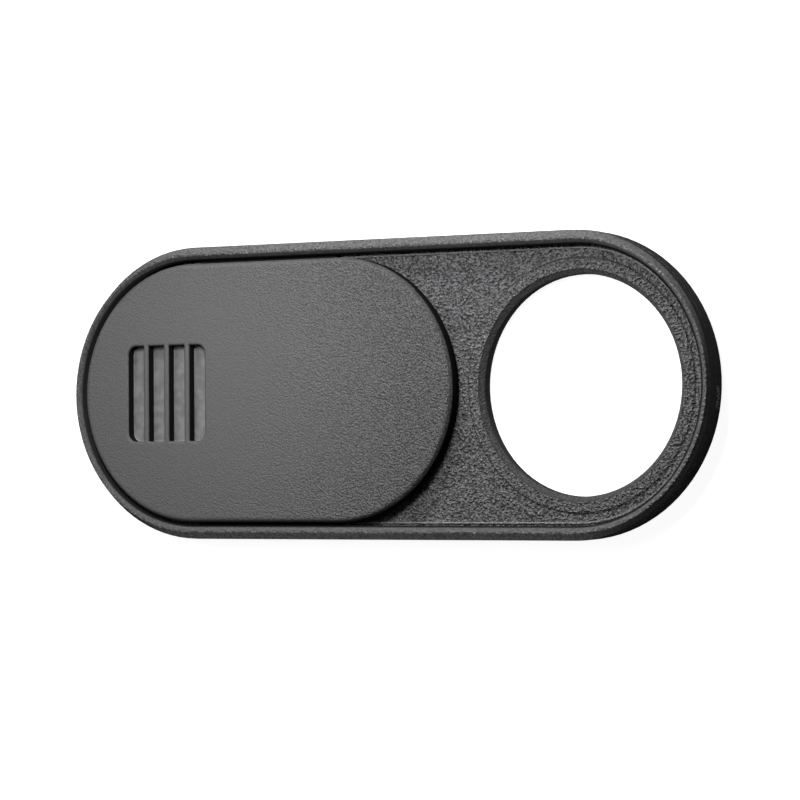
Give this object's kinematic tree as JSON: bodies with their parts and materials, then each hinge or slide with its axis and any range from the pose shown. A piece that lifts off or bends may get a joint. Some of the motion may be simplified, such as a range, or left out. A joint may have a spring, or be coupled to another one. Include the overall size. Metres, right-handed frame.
{
  "type": "webcam cover slider",
  "caption": "Slim oval stick-on webcam cover: a rimmed frame with a round lens window and a sliding shutter with a ribbed finger grip that opens or blocks the lens.",
  "frame": {"origin": "middle of the adhesive face, at the bottom of the part's box", "axes": "+X along the length towards the lens window, +Y across the width, +Z out of the front face"},
  "size_m": [0.04, 0.0164, 0.0019],
  "materials": {
    "frame_plastic": "coarse spark-eroded texture, matt black",
    "shutter_plastic": "fine satin texture, matt black",
    "adhesive_tape": "matt tissue-carrier double-sided tape"
  },
  "bodies": {
    "frame": {"base_frame": "frame_plastic", "adhesive_pad": "adhesive_tape"},
    "shutter": {"shutter": "shutter_plastic"}
  },
  "joints": [
    {"name": "shutter_slide", "type": "slide", "parent": "frame", "child": "shutter", "axis": [1, 0, 0], "range_m": [0, 0.0145]}
  ]
}
